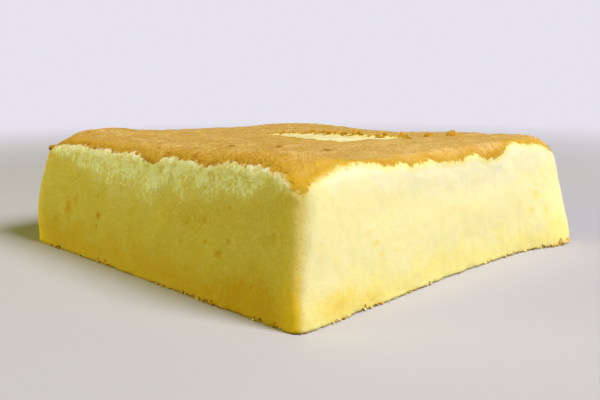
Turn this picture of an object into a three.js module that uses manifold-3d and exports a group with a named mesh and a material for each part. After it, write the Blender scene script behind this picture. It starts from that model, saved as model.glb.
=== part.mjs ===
// A square chiffon cake, one solid, in millimetres with +Z up.
// The walls are named by compass: south is -Y, east is +X, north is +Y and west is -X.
// A box of cells is bent into the cake, cut flat at the foot, and the torn skin and flakes are added.
import * as THREE from 'three';
import { mergeVertices } from 'three/addons/utils/BufferGeometryUtils.js';
import Module from 'manifold-3d';

const CELLS = 50;                // cells along each side of the box
const CROWD = 0.17;              // how much the cells crowd towards the corners and the rim
const LOW_ROWS = [-3, 6, 14, 22, 30, 37];    // heights of the lower rows of the walls
const EDGE_ROWS = [6, 2.2, 0.3, 0];          // last rows, as depths under the edge of the crust
const CRUMB_BACK = [0, -0.3, -0.45];         // how far the torn crumb stands back under the crust
const CRUMB_UNEVEN = 0.25;       // how much that changes from cell to cell
const CRUST_EDGE = 0.6;          // height of the crust's rim over the upper edge of the wall
const CRUST_THIN = 0.3;          // least height of the rim over the edge of the crust
const SHOULDER = 5;              // height of the bend from the wall to the rim
const DRAWN_IN = 2.8;            // how far the rim is drawn in by that bend
const LEAN_HEIGHT = 50;          // height at which the leans below are measured
const FOOT_RADIUS = 4;           // corner radius at the foot
const TOP_RADIUS = 9;            // corner radius at LEAN_HEIGHT
const ROLL = 22;                 // how far in from the rim the top is still rising
const TOP = 57.2;                // mean height of the top
const TEAR_DEPTH = 1.1;          // thickness of the skin that is missing from the tear
const UNEVEN_WALL = 0.35;        // how far the walls swell and sink at random
const UNEVEN_EDGE = 0.25;        // how far the edge of the crust rises and falls at random
const UNEVEN_TOP = [0.3, 0.12];  // how far the top does, in wide and in narrow swells
const FLAKE_THICK = 1.8;         // thickness of a flake at its foot
const FLAKE_SUNK = 1.4;          // how deep a flake is sunk into the top
const CLEAR = 300;               // side of the block that cuts the foot flat

// Each wall: distance from the axis at the foot, lean and its curve, and the height of its upper
// edge as [place along the wall, height]. Drop is how far the crust hangs down from its rim, as
// [place along the wall, depth].
const WALLS = {
  south: {
    reach: 100, lean: 6.2, curve: 1.2,
    edge: [[-104, 55.2], [-61, 55.4], [-23, 55], [9, 55], [21, 56], [34, 55.8], [61, 57.2], [100, 57]],
    drop: [
      [-104, 1], [-64, 0.8], [-57, 1.7], [-40, 1.2], [-32, 2.1], [-20, 1.4], [-10, 1.2], [-2, 4], [6, 3.8],
      [10, 1.1], [16, 1.2], [22, 2.2], [32, 1.2], [42, 3.5], [51, 2.5], [57, 0.9], [66, 2], [74, 0.7],
      [88, 1.4], [94, 3.8], [100, 4.4],
    ],
  },
  east: {
    reach: 99.5, lean: 2, curve: 1.3,
    edge: [[-100, 57], [-72, 56.2], [-52, 55.7], [-10, 54.9], [38, 54.8], [47, 56.2], [72, 56.6], [103, 57]],
    drop: [
      [-100, 4.4], [-94, 1], [-88, 0.6], [-79, -0.6], [-62, 0.2], [-49, 2.2], [-42, 1.9], [-33, 3.4],
      [-19, 2], [-10, 3.8], [2, 4.2], [8, 3.8], [17, 1.9], [27, 5.4], [42, 4.4], [54, 0.8], [70, 2.2],
      [84, 1.8], [94, 3], [103, 3],
    ],
  },
  north: {
    reach: 102.5, lean: 7, curve: 1.4,
    edge: [[-104, 55], [-58, 54.4], [-12, 52.6], [45, 55], [82, 56.2], [100, 57]],
    drop: [
      [-104, 1.2], [-71, 1], [-62, 3.2], [-52, 1.4], [-27, 1], [-15, 4.2], [-3, 1.6], [24, 1], [33, 3],
      [44, 1.2], [58, 1.4], [68, 3.6], [79, 1], [100, 3],
    ],
  },
  west: {
    reach: 104, lean: 3, curve: 2.2,
    edge: [[-100, 55.2], [-84, 57], [-55, 57], [-10, 55], [40, 54.4], [84, 54.6], [103, 55]],
    drop: [
      [-100, 1], [-60, 1.2], [-47, 1], [-36, 3.4], [-25, 1.4], [4, 1], [12, 3], [18, 1.6], [26, 4.4],
      [35, 1.2], [54, 1], [66, 3.2], [78, 1.4], [103, 1.2],
    ],
  },
};

// The corners, where the rim droops: [x, y, how far down, how quickly it recovers].
const CORNERS = [[97.5, -94, 4, 8], [102, 96, 7.8, 7], [-101, 96, 4, 8], [-101, -95, 3.4, 8]];

// Swells of the walls: [wall, place along it, its reach, height, its reach, how far out].
const WALL_SWELLS = [
  ['east', 94, 24, 0, 26, 8.6],    // the corner that spreads at the foot
  ['east', -100, 42, 0, 14, 1.4],
  ['east', -100, 30, 36, 20, 0.9],
  ['east', 15, 50, 0, 90, -1.5],   // the hollow middle
  ['east', 0, 90, 38, 7, -0.4],    // the crease under the upper band
  ['south', -102, 32, 27, 21, 3],
  ['south', 20, 60, 30, 25, -0.6],
  ['north', -30, 50, 20, 30, 1.5],
  ['north', 94, 40, 42, 26, 5.2],  // the same corner, higher up
  ['west', 20, 55, 22, 30, 1.2],
];

// Swells of the top: [x, y, reach, height]. Along the south wall the top rises to a low ridge, whose
// height is given as [place along it, height].
const TOP_SWELLS = [
  [-88, -68, 28, 3.9], [62, 0, 30, 0.6], [-14, 92, 42, -2.8], [66, 86, 24, -0.5], [-92, 40, 34, -0.9],
];
const RAISED_RIM = {
  y: -82, wide: 11, rise: [[-70, 0], [-12, 1.7], [24, 1.7], [49, 2.9], [72, 3.9], [90, 4.5]],
};

// The torn skin on the top, with its lobes as [angle, half width, share out], and the flakes of
// crust round it as [x, y, turn, width, height].
const TEAR = { x: 12.8, y: 12, turn: 0.29, long: 42, wide: 19 };
const TEAR_BAYS = [[-1.25, 0.24, 0.62], [-2.3, 0.55, -0.34], [2.1, 0.4, 0.12]];
const FLAKES = [
  [10, 35, 0.5, 7, 3.2], [31, 31, 0.2, 7, 2.4], [38, 41, 0.9, 5, 2.8], [52, 45, 0.4, 6, 2.6],
  [59, 58, 0.8, 9, 3.8], [-18, 30, 0.5, 9, 1.6], [-2, 33, 0.3, 9, 1.6],
];

// Lumps of crumb at the spread corner and a bit of crust at the opposite one: [x, y, z, radius].
const LUMPS = [
  [104.4, 83, 1, 3], [106.4, 89, 1.4, 3], [105.8, 96, 1.2, 2.8], [-94.2, -92.6, 51.4, 1.8],
];

const { lerp, smoothstep, clamp } = THREE.MathUtils;
const wasm = await Module();
wasm.setup();

// A repeatable value between -1 and 1 for a whole number.
function chance(i) {
  const s = Math.sin(i * 127.1 + 31.7) * 43758.5453;
  return 2 * (s - Math.floor(s)) - 1;
}

// Smooth unevenness along a line.
function uneven(t, seed) {
  const i = Math.floor(t);
  return lerp(chance(i + seed), chance(i + 1 + seed), smoothstep(t - i, 0, 1));
}

// Smooth unevenness over a plane.
function patchy(x, y, seed) {
  const j = Math.floor(y);
  return lerp(uneven(x, seed + 57 * j), uneven(x, seed + 57 * (j + 1)), smoothstep(y - j, 0, 1));
}

// Height along a list of [place, height].
function along(list, t) {
  let i = 1;
  while (i < list.length - 1 && t > list[i][0]) i += 1;
  const [t0, h0] = list[i - 1];
  const [t1, h1] = list[i];
  return lerp(h0, h1, smoothstep(t, t0, t1));
}

// Distance of a wall from the axis, at a place along it and a height.
function wallReach(name, t, z) {
  const wall = WALLS[name];
  let r = wall.reach - wall.lean * Math.pow(Math.max(z, 0) / LEAN_HEIGHT, wall.curve);
  for (const [side, at, reach, height, rise, out] of WALL_SWELLS) {
    if (side === name) r += out * Math.exp(-(((t - at) / reach) ** 2) - ((z - height) / rise) ** 2);
  }
  return r + UNEVEN_WALL * patchy(t / 17, z / 13, 7 * wall.lean);
}

// A place on the walls at a height. px and py run from -1 to 1, and one of them is -1 or 1.
function wallPoint(px, py, z, out) {
  const tx = lerp(-WALLS.west.reach, WALLS.east.reach, (px + 1) / 2);
  const ty = lerp(-WALLS.south.reach, WALLS.north.reach, (py + 1) / 2);
  const west = -wallReach('west', ty, z);
  const east = wallReach('east', ty, z);
  const south = -wallReach('south', tx, z);
  const north = wallReach('north', tx, z);
  const x = lerp(west, east, (px + 1) / 2);
  const y = lerp(south, north, (py + 1) / 2);
  const radius = lerp(FOOT_RADIUS, TOP_RADIUS, clamp(z / LEAN_HEIGHT, 0, 1.1) ** 1.4);
  const cx = clamp(x, west + radius, east - radius);
  const cy = clamp(y, south + radius, north - radius);
  const scale = (radius + out) / Math.hypot(x - cx, y - cy);
  return [cx + (x - cx) * scale, cy + (y - cy) * scale];
}

// How far the crust droops at a place, towards the corners.
function droop(x, y) {
  let down = 0;
  for (const [cx, cy, depth, reach] of CORNERS) {
    const off = (Math.abs(cx - x) + Math.abs(cy - y)) / Math.SQRT2 - TOP_RADIUS * 0.4;
    down += depth * Math.exp(-Math.max(0, off) / reach);
  }
  return down;
}

// The rim of the top there, and the lower edge of the crust, which hangs over the wall in places.
function edges(px, py) {
  const onX = Math.abs(px) >= Math.abs(py);
  const name = onX ? (px > 0 ? 'east' : 'west') : (py > 0 ? 'north' : 'south');
  const wall = WALLS[name];
  const t = onX
    ? lerp(-WALLS.south.reach, WALLS.north.reach, (py + 1) / 2)
    : lerp(-WALLS.west.reach, WALLS.east.reach, (px + 1) / 2);
  const [x, y] = wallPoint(px, py, LEAN_HEIGHT, 0);
  const rim = along(wall.edge, t) - droop(x, y) + CRUST_EDGE;
  const drop = along(wall.drop, t) + UNEVEN_EDGE * uneven(t / 5, 11 * wall.lean);
  return { hang: rim - Math.max(drop, CRUST_THIN), rim };
}

// How far the wall bends in under the rim.
function shoulder(z, rim) {
  return -DRAWN_IN * clamp((z - rim + SHOULDER) / SHOULDER, 0, 1) ** 2;
}

// Height of the top away from its rim.
function plateau(x, y) {
  let h = TOP + UNEVEN_TOP[0] * patchy(x / 24, y / 24, 3) + UNEVEN_TOP[1] * patchy(x / 9, y / 9, 5);
  for (const [cx, cy, reach, height] of TOP_SWELLS) {
    h += height * Math.exp(-(((x - cx) ** 2 + (y - cy) ** 2) / reach ** 2));
  }
  const { y: ridge, wide, rise } = RAISED_RIM;
  return h + along(rise, x) * Math.exp(-(((y - ridge) / wide) ** 2));
}

// A place on the top. The ring runs from 0 in the middle to 1 at the rim.
function topPoint(px, py) {
  const ring = Math.max(Math.abs(px), Math.abs(py));
  const ux = ring > 0 ? px / ring : 1;
  const uy = ring > 0 ? py / ring : 0;
  const { rim } = edges(ux, uy);
  const [ex, ey] = wallPoint(ux, uy, rim, -DRAWN_IN);
  const x = ex * ring;
  const y = ey * ring;
  const q = Math.min(1, (1 - ring) * 100 / ROLL);
  const rise = plateau(x, y) - rim;
  const steep = clamp(ROLL / Math.max(rise, 0.1), 2, 20);
  return [x, y, rim + rise * (1 - (1 - q) ** steep)];
}

// A place on a row of the walls.
function sidePoint(px, py, row) {
  if (row < LOW_ROWS.length) {
    const z = LOW_ROWS[row];
    return [...wallPoint(px, py, z, 0), z];
  }
  const step = row - LOW_ROWS.length;
  const { hang, rim } = edges(px, py);
  const z = hang - EDGE_ROWS[step];
  const torn = CRUMB_UNEVEN * chance(Math.round(90 * px + 70 * py) + step);
  const out = step < CRUMB_BACK.length ? CRUMB_BACK[step] + torn : 0;
  return [...wallPoint(px, py, z, out + shoulder(z, rim)), z];
}

// Joins shared corners, so that the geometry is one closed surface.
function closed(geometry) {
  geometry.deleteAttribute('normal');
  geometry.deleteAttribute('uv');
  return mergeVertices(geometry, 1e-4);
}

function toManifold(geometry) {
  const solid = closed(geometry);
  return new wasm.Manifold(new wasm.Mesh({
    numProp: 3,
    vertProperties: new Float32Array(solid.attributes.position.array),
    triVerts: new Uint32Array(solid.index.array),
  }));
}

// Moves every point of a geometry by a function of its place.
function bend(geometry, move) {
  const points = geometry.attributes.position;
  for (let i = 0; i < points.count; i += 1) {
    points.setXYZ(i, ...move(points.getX(i), points.getY(i), points.getZ(i)));
  }
  return geometry;
}

// Splits each cell along the diagonal that stands further out, so that ridges stay whole.
function splitOut(geometry) {
  const points = geometry.attributes.position;
  const index = geometry.index.array;
  for (let i = 0; i < index.length; i += 6) {
    const [ia, ib, id, , ic] = index.slice(i, i + 6);
    const [a, b, c, d] = [ia, ib, ic, id].map((k) => new THREE.Vector3().fromBufferAttribute(points, k));
    const out = c.clone().sub(a).cross(d.clone().sub(b));
    if (a.add(c).sub(b).sub(d).dot(out) > 0) index.set([ia, ib, ic, ia, ic, id], i);
  }
  return geometry;
}

// The cake itself: the box's top becomes the top, its sides the walls.
function block() {
  const rows = LOW_ROWS.length + EDGE_ROWS.length;
  const crowd = (u) => u * (1 + CROWD * (1 - u * u));
  return splitOut(bend(new THREE.BoxGeometry(2, 2, rows, CELLS, CELLS, rows), (bx, by, bz) => {
    const px = crowd(bx);
    const py = crowd(by);
    const row = Math.round(bz + rows / 2);
    if (row === rows) return topPoint(px, py);
    if (row > 0) return sidePoint(px, py, row);
    const ring = Math.max(Math.abs(px), Math.abs(py));
    const [ex, ey, z] = ring > 0 ? sidePoint(px / ring, py / ring, 0) : [0, 0, LOW_ROWS[0]];
    return [ex * ring, ey * ring, z];
  }));
}

// The missing skin: a ragged disc that follows the top and reaches above it.
function tearCutter() {
  const { x: cx, y: cy, turn, long, wide } = TEAR;
  const disc = new THREE.CylinderGeometry(1, 1, 2, 44, 1).rotateX(Math.PI / 2);
  return bend(disc, (bx, by, bz) => {
    const angle = Math.atan2(by, bx);
    let bays = 1 + 0.06 * uneven(angle * 2.2 + 20, 4) + 0.05 * chance(Math.round(angle * 7));
    for (const [at, half, out] of TEAR_BAYS) bays += out * Math.exp(-(((angle - at) / half) ** 2));
    const ragged = Math.hypot(bx, by) * bays;
    const u = long * ragged * Math.cos(angle);
    const v = wide * ragged * Math.sin(angle);
    const x = cx + u * Math.cos(turn) - v * Math.sin(turn);
    const y = cy + u * Math.sin(turn) + v * Math.cos(turn);
    return [x, y, plateau(x, y) + (bz > 0 ? 6 : -TEAR_DEPTH)];
  });
}

// A curled flake of crust standing on the top.
function flake([x, y, turn, width, height], i) {
  const shard = new THREE.BoxGeometry(width, FLAKE_THICK, height + FLAKE_SUNK, 4, 1, 2);
  shard.translate(0, 0, (height - FLAKE_SUNK) / 2);
  bend(shard, (bx, by, bz) => {
    const up = clamp(bz / height, 0, 1);
    const aside = Math.abs(bx / width * 2 - 0.3 * chance(i));
    const peak = 1 - up * (0.1 + 0.55 * aside);
    return [bx * (1 - 0.45 * up), by * (1 - 0.4 * up) + 1.4 * up * up + 0.05 * bx * bx, bz * peak];
  });
  return shard.rotateZ(turn).translate(x, y, plateau(x, y));
}

function lump([x, y, z, radius], i) {
  const ball = bend(new THREE.IcosahedronGeometry(radius, 1), (bx, by, bz) => {
    const grow = 1 + 0.2 * patchy(bx / radius * 1.3 + 9, by / radius * 1.3 + bz / radius + 9, i);
    return [bx * grow, by * grow, bz * grow * 0.8];
  });
  return ball.translate(x, y, z);
}

// Puts the middle of the solid's box over the origin.
function centred(solid) {
  const { vertProperties, triVerts } = solid.getMesh();
  const geometry = new THREE.BufferGeometry();
  geometry.setAttribute('position', new THREE.BufferAttribute(new Float32Array(vertProperties), 3));
  geometry.setIndex(new THREE.BufferAttribute(new Uint32Array(triVerts), 1));
  geometry.computeBoundingBox();
  const { min, max } = geometry.boundingBox;
  geometry.translate(-(min.x + max.x) / 2, -(min.y + max.y) / 2, -min.z);
  geometry.computeVertexNormals();
  return geometry;
}

let cake = toManifold(block()).subtract(toManifold(tearCutter()));
FLAKES.forEach((item, i) => { cake = cake.add(toManifold(flake(item, i))); });
LUMPS.forEach((item, i) => { cake = cake.add(toManifold(lump(item, i))); });
const underFoot = new THREE.BoxGeometry(CLEAR, CLEAR, CLEAR).translate(0, 0, -CLEAR / 2);
cake = cake.subtract(toManifold(underFoot));

const sponge = new THREE.MeshStandardMaterial({ color: 0xe9cf86, roughness: 0.85, metalness: 0 });
const mesh = new THREE.Mesh(centred(cake), sponge);
mesh.name = 'chiffon_cake';

const part = new THREE.Group();
part.add(mesh);
export default part;
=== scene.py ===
# %% [markdown]
# # A square chiffon cake
# The cake stands uncut: tall, pale crumb walls under a thin golden crust.
# The solid from the CAD step gives its size and place. Here a much finer skin is drawn over the same
# form, because the crumb, the ragged crust and the torn places are too small for the solid's facets.

# %% Load the frame
import itertools
import math

import bmesh
import bpy
import numpy as np
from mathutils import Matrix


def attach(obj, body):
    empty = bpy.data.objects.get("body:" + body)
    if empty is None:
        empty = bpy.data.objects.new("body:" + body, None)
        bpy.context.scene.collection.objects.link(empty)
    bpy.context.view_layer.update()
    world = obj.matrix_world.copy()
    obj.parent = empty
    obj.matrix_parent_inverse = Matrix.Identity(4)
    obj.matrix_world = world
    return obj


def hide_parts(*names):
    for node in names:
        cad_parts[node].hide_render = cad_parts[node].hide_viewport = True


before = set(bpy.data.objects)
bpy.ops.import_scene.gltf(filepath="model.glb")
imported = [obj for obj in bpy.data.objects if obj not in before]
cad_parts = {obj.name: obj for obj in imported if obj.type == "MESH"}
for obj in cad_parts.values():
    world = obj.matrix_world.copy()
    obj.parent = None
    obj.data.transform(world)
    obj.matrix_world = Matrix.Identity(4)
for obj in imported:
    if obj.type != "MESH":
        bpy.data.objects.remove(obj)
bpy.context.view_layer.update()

MM = 0.001

# %% [markdown]
# ## The camera
# The near corner of the cake points at the viewer and the eye is only a little above the crust.
# The lens and the place were worked out from straight edges and even spacing in the picture, so
# the camera is set by plain numbers: where it stands, how far it tips down, turns and rolls.

# %% Camera
LENS_MM, SENSOR_MM = 40.8, 36.0
EYE_MM = (256.99, -257.05, 87.46)
TIP_DEG, ROLL_DEG, TURN_DEG = 79.9, 0.26, 45.17
NEAR_CLIP_M = 0.01

camera_data = bpy.data.cameras.new("camera")
camera_data.lens = LENS_MM
camera_data.sensor_width = SENSOR_MM
camera_data.clip_start = NEAR_CLIP_M
camera = bpy.data.objects.new("camera", camera_data)
camera.location = [v * MM for v in EYE_MM]
camera.rotation_euler = [math.radians(a) for a in (TIP_DEG, ROLL_DEG, TURN_DEG)]
bpy.context.scene.collection.objects.link(camera)
bpy.context.scene.camera = camera
print("camera stands", EYE_MM, "mm from the cake's middle")

# %% [markdown]
# ## Helpers for unevenness
# Nothing baked is regular. Two kinds of noise are used: one that repeats the solid's own gentle
# unevenness, and a finer one in three dimensions for crumb. A displace modifier could move the points
# too, but functions also tell where the crust ends.

# %% Noise of the solid
def lerp(a, b, t):
    return a + (b - a) * t


def smooth(x, low, high):
    """0 below low, 1 above high and a soft step between them."""
    t = np.clip((x - low) / (high - low), 0, 1)
    return t * t * (3 - 2 * t)


def chance(i):
    """A fixed number from -1 to 1 for each place i."""
    s = np.sin(i * 127.1 + 31.7) * 43758.5453
    return 2 * (s - np.floor(s)) - 1


def uneven(t, seed):
    """Noise along a line, with one swell for each whole number."""
    i = np.floor(t)
    return lerp(chance(i + seed), chance(i + 1 + seed), smooth(t - i, 0, 1))


def patchy(x, y, seed):
    j = np.floor(y)
    return lerp(uneven(x, seed + 57 * j), uneven(x, seed + 57 * (j + 1)), smooth(y - j, 0, 1))


# %% Noise of the crumb
OCTAVES = 3


def lattice(ix, iy, iz, seed):
    """A fixed number from -1 to 1 for each corner of a lattice of cubes."""
    h = (ix * 374761393 + iy * 668265263 + iz * 1440662683 + seed * 1274126177) & 0xFFFFFFFF
    h = ((h ^ (h >> 13)) * 1274126177) & 0xFFFFFFFF
    return ((h ^ (h >> 16)) & 0xFFFF) / 32767.5 - 1


def noise(points, size, seed):
    """Smooth noise from -1 to 1. size is the length of one swell, or one for each axis."""
    p = points / np.asarray(size, float)
    cell = np.floor(p).astype(np.int64)
    f = p - cell
    f = f * f * (3 - 2 * f)
    total = 0
    for dx, dy, dz in itertools.product((0, 1), repeat=3):
        weight = np.abs(1 - dx - f[..., 0]) * np.abs(1 - dy - f[..., 1]) * np.abs(1 - dz - f[..., 2])
        total = total + weight * lattice(cell[..., 0] + dx, cell[..., 1] + dy, cell[..., 2] + dz, seed)
    return total


def rough(points, size, seed):
    size = np.asarray(size, float)
    return sum(noise(points, size / 2 ** k, seed + k) / 2 ** k for k in range(OCTAVES))


def layered(points, layers):
    """Sum of noises, each given by its height, the size of its swells and a seed."""
    return sum(height * noise(points, size, seed) for height, size, seed in layers)


# %% [markdown]
# ## The form
# The walls lean in, the corners droop, and the crust hangs over the walls in tongues. These are the
# named sizes of the solid, in millimetres, with south for the wall towards -Y and east towards +X.
# A cake could also be sculpted, but functions keep the fine skin exactly on the solid.
# As pairs of a place and a value, edge is a wall's height, drop how far the crust hangs and torn how deep
# the torn crumb reaches. fray says how shaggy that is and flecks how many crumbs cling to it. One more
# number says how much yellower the wall's skin is painted: partly a yellower skin and partly painted
# shade, high on the walls in shade and almost none on the lit east wall.

# %% Sizes of the form
MIDDLE = np.array([1.997, 1.278, 0.0])
CROWD, CRUST_EDGE, ROLL, TOP = 0.17, 0.6, 22.0, 57.2
SHOULDER, DRAWN_IN, CRUST_THIN = 5.0, 2.8, 0.3
LEAN_HEIGHT, FOOT_RADIUS, TOP_RADIUS, TEAR_DEPTH = 50.0, 4.0, 9.0, 1.1

WALLS = {
    "south": dict(
        reach=100, lean=6.2, curve=1.2, fray=1.0, flecks=1.0, yellow_shade=1.0,
        edge=[(-104, 55.2), (-61, 55.4), (-23, 55), (9, 55), (21, 56), (34, 55.8), (61, 57.2), (100, 57)],
        drop=[(-104, 1), (-64, 0.8), (-57, 1.7), (-40, 1.2), (-32, 2.1), (-20, 1.4), (-10, 1.2), (-2, 4),
              (6, 3.8), (10, 1.1), (16, 1.2), (22, 2.2), (32, 1.2), (42, 3.5), (51, 2.5), (57, 0.9),
              (66, 2), (74, 0.7), (88, 1.4), (94, 3.8), (100, 4.4)],
        torn=[(-104, 2), (-76, 6), (-60, 11), (-44, 14), (-21, 17), (0, 15.5), (35, 13),
              (55, 12), (80, 9), (100, 3)]),
    "east": dict(
        reach=99.5, lean=2, curve=1.3, fray=0.12, flecks=0, yellow_shade=0.04,
        edge=[(-100, 57), (-72, 56.2), (-52, 55.7), (-10, 54.9), (38, 54.8), (47, 56.2), (72, 56.6),
              (103, 57)],
        drop=[(-100, 4.4), (-94, 1), (-88, 0.6), (-79, -0.6), (-62, 0.2), (-49, 2.2), (-42, 1.9),
              (-33, 3.4), (-19, 2), (-10, 3.8), (2, 4.2), (8, 3.8), (17, 1.9), (27, 5.4), (42, 4.4),
              (54, 0.8), (70, 2.2), (84, 1.8), (94, 3), (103, 3)],
        torn=[(-100, 2), (-70, 8), (-30, 12), (10, 15), (60, 16), (103, 6)]),
    "north": dict(
        reach=102.5, lean=7, curve=1.4, fray=0.8, flecks=0.7, yellow_shade=0.6,
        edge=[(-104, 55), (-58, 54.4), (-12, 52.6), (45, 55), (82, 56.2), (100, 57)],
        drop=[(-104, 1.2), (-71, 1), (-62, 3.2), (-52, 1.4), (-27, 1), (-15, 4.2), (-3, 1.6), (24, 1),
              (33, 3), (44, 1.2), (58, 1.4), (68, 3.6), (79, 1), (100, 3)],
        torn=[(-104, 4), (-50, 13), (0, 9), (40, 15), (100, 4)]),
    "west": dict(
        reach=104, lean=3, curve=2.2, fray=0.8, flecks=0.7, yellow_shade=0.7,
        edge=[(-100, 55.2), (-84, 57), (-55, 57), (-10, 55), (40, 54.4), (84, 54.6), (103, 55)],
        drop=[(-100, 1), (-60, 1.2), (-47, 1), (-36, 3.4), (-25, 1.4), (4, 1), (12, 3), (18, 1.6),
              (26, 4.4), (35, 1.2), (54, 1), (66, 3.2), (78, 1.4), (103, 1.2)],
        torn=[(-100, 4), (-60, 15), (-10, 11), (50, 16), (103, 5)]),
}
ALONG_X = ("south", "north")
ENDS_X = (-WALLS["west"]["reach"], WALLS["east"]["reach"])
ENDS_Y = (-WALLS["south"]["reach"], WALLS["north"]["reach"])
print("the foot reaches over", ENDS_X, "and", ENDS_Y, "mm")

# %% Swells, corners and tear
WALL_SWELLS = [
    ("east", 94, 24, 0, 26, 8.6), ("east", -100, 42, 0, 14, 1.4), ("east", -100, 30, 36, 20, 0.9),
    ("east", 15, 50, 0, 90, -1.5), ("east", 0, 90, 38, 7, -0.4), ("south", -102, 32, 27, 21, 3),
    ("south", 20, 60, 30, 25, -0.6), ("north", -30, 50, 20, 30, 1.5), ("west", 20, 55, 22, 30, 1.2),
    ("north", 94, 40, 42, 26, 5.2),
]
WAVE_OUT, WAVE_LONG, WAVE_TALL = 0.35, 17, 13
TOP_SWELLS = [
    (-88, -68, 28, 3.9), (62, 0, 30, 0.6), (-14, 92, 42, -2.8), (66, 86, 24, -0.5), (-92, 40, 34, -0.9),
]
TOP_WAVES = [(0.3, 24, 3), (0.12, 9, 5)]
RAISED_RIM = dict(y=-82, wide=11, rise=[(-70, 0), (-12, 1.7), (24, 1.7), (49, 2.9), (72, 3.9), (90, 4.5)])
CORNERS = [(97.5, -94, 4, 8), (102, 96, 7.8, 7), (-101, 96, 4, 8), (-101, -95, 3.4, 8)]
TEAR = dict(x=12.8, y=12, turn=0.29, long=42, wide=19)
TEAR_BAYS = [(-1.25, 0.24, 0.62), (-2.3, 0.55, -0.34), (2.1, 0.4, 0.12)]
TEAR_RAGS = [(0.06, 2.2, 20, 4), (0.05, 9, 60, 8), (0.03, 31, 200, 9)]
print(len(WALL_SWELLS), "swells on the walls and", len(TOP_SWELLS), "on the top")


# %% Walls of the form
def along(knots, t):
    """Value at places t, eased from knot to knot."""
    h = np.full_like(t, knots[0][1], dtype=float)
    for (t0, h0), (t1, h1) in zip(knots, knots[1:]):
        h += (h1 - h0) * smooth(t, t0, t1)
    return h


def wall_reach(name, t, z):
    wall = WALLS[name]
    r = wall["reach"] - wall["lean"] * (np.maximum(z, 0) / LEAN_HEIGHT) ** wall["curve"]
    for side, at, reach, height, rise, out in WALL_SWELLS:
        if side == name:
            r = r + out * np.exp(-((t - at) / reach) ** 2 - ((z - height) / rise) ** 2)
    return r + WAVE_OUT * patchy(t / WAVE_LONG, z / WAVE_TALL, 7 * wall["lean"])


def plan_places(px, py):
    """Places along the walls, from grid coordinates of -1 to 1."""
    return lerp(*ENDS_X, (px + 1) / 2), lerp(*ENDS_Y, (py + 1) / 2)


def wall_point(px, py, z, out):
    """Plan position on the walls, out millimetres beyond the crumb."""
    tx, ty = plan_places(px, py)
    west, east = -wall_reach("west", ty, z), wall_reach("east", ty, z)
    south, north = -wall_reach("south", tx, z), wall_reach("north", tx, z)
    x, y = lerp(west, east, (px + 1) / 2), lerp(south, north, (py + 1) / 2)
    radius = lerp(FOOT_RADIUS, TOP_RADIUS, np.clip(z / LEAN_HEIGHT, 0, 1.1) ** 1.4)
    cx, cy = np.clip(x, west + radius, east - radius), np.clip(y, south + radius, north - radius)
    scale = (radius + out) / np.hypot(x - cx, y - cy)
    return cx + (x - cx) * scale, cy + (y - cy) * scale


# %% Edge of the crust
def droop(x, y, places):
    down = 0
    for cx, cy, depth, reach in places:
        off = (np.abs(cx - x) + np.abs(cy - y)) / math.sqrt(2) - TOP_RADIUS * 0.4
        down = down + depth * np.exp(-np.maximum(0, off) / reach)
    return down


def by_wall(px, py, rule):
    """Value of rule(wall, place along it), with each place on its own wall."""
    tx, ty = plan_places(px, py)
    on_x = np.abs(px) >= np.abs(py)
    return np.where(on_x,
                    np.where(px > 0, rule(WALLS["east"], ty), rule(WALLS["west"], ty)),
                    np.where(py > 0, rule(WALLS["north"], tx), rule(WALLS["south"], tx)))


def crust_drop(wall, t):
    """How far the crust hangs down from the rim."""
    return along(wall["drop"], t) + 0.25 * uneven(t / 5, 11 * wall["lean"])


def edges(px, py):
    """Heights of the crust's lower edge and of the rim."""
    place = wall_point(px, py, np.full_like(px, LEAN_HEIGHT), 0)
    arris = by_wall(px, py, lambda wall, t: along(wall["edge"], t)) - droop(*place, CORNERS)
    rim = arris + CRUST_EDGE
    return rim - by_wall(px, py, crust_drop), rim


def shoulder(z, rim):
    """How far the wall bends in below the rim."""
    return -DRAWN_IN * np.clip((z - rim + SHOULDER) / SHOULDER, 0, 1) ** 2


# %% Top of the form
def plateau(x, y):
    h = TOP
    for height, size, seed in TOP_WAVES:
        h = h + height * patchy(x / size, y / size, seed)
    for cx, cy, reach, height in TOP_SWELLS:
        h = h + height * np.exp(-((x - cx) ** 2 + (y - cy) ** 2) / reach ** 2)
    return h + along(RAISED_RIM["rise"], x) * np.exp(-((y - RAISED_RIM["y"]) / RAISED_RIM["wide"]) ** 2)


def inside_tear(x, y):
    """Millimetres inside the ragged edge of the torn skin, negative outside it."""
    dx, dy = x - TEAR["x"], y - TEAR["y"]
    u = dx * math.cos(TEAR["turn"]) + dy * math.sin(TEAR["turn"])
    v = dy * math.cos(TEAR["turn"]) - dx * math.sin(TEAR["turn"])
    angle = np.arctan2(v / TEAR["wide"], u / TEAR["long"])
    bays = 1
    for out, pace, shift, seed in TEAR_RAGS:
        bays = bays + out * uneven(angle * pace + shift, seed)
    for at, wide, out in TEAR_BAYS:
        bays = bays + out * np.exp(-((angle - at) / wide) ** 2)
    share = np.hypot(u / TEAR["long"], v / TEAR["wide"]) / bays
    return (1 - share) * np.hypot(u, v) / np.maximum(share, 0.05)


# %% [markdown]
# ## A grid over the cake
# The skin is one grid: a square of cells for the top, and rows of cells round the walls that follow the
# crust's lower edge, so that the edge stays crisp. Crowding the cells towards the rim puts detail where
# the crust breaks. A remeshed or subdivided block would have spent its cells evenly instead.

# %% Square and ring
SIDE = 208

steps = np.linspace(-1, 1, SIDE + 1)
steps = steps * (1 + CROWD * (1 - steps ** 2))
grid_x, grid_y = np.meshgrid(steps, steps, indexing="ij")
run = np.arange(SIDE)
ring_i = np.concatenate([run, np.full(SIDE, SIDE), SIDE - run, np.zeros(SIDE, int)])
ring_j = np.concatenate([np.zeros(SIDE, int), run, np.full(SIDE, SIDE), SIDE - run])
ring_x, ring_y = grid_x[ring_i, ring_j], grid_y[ring_i, ring_j]
print(SIDE ** 2, "cells on the top and", len(ring_x), "round the rim")

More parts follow.
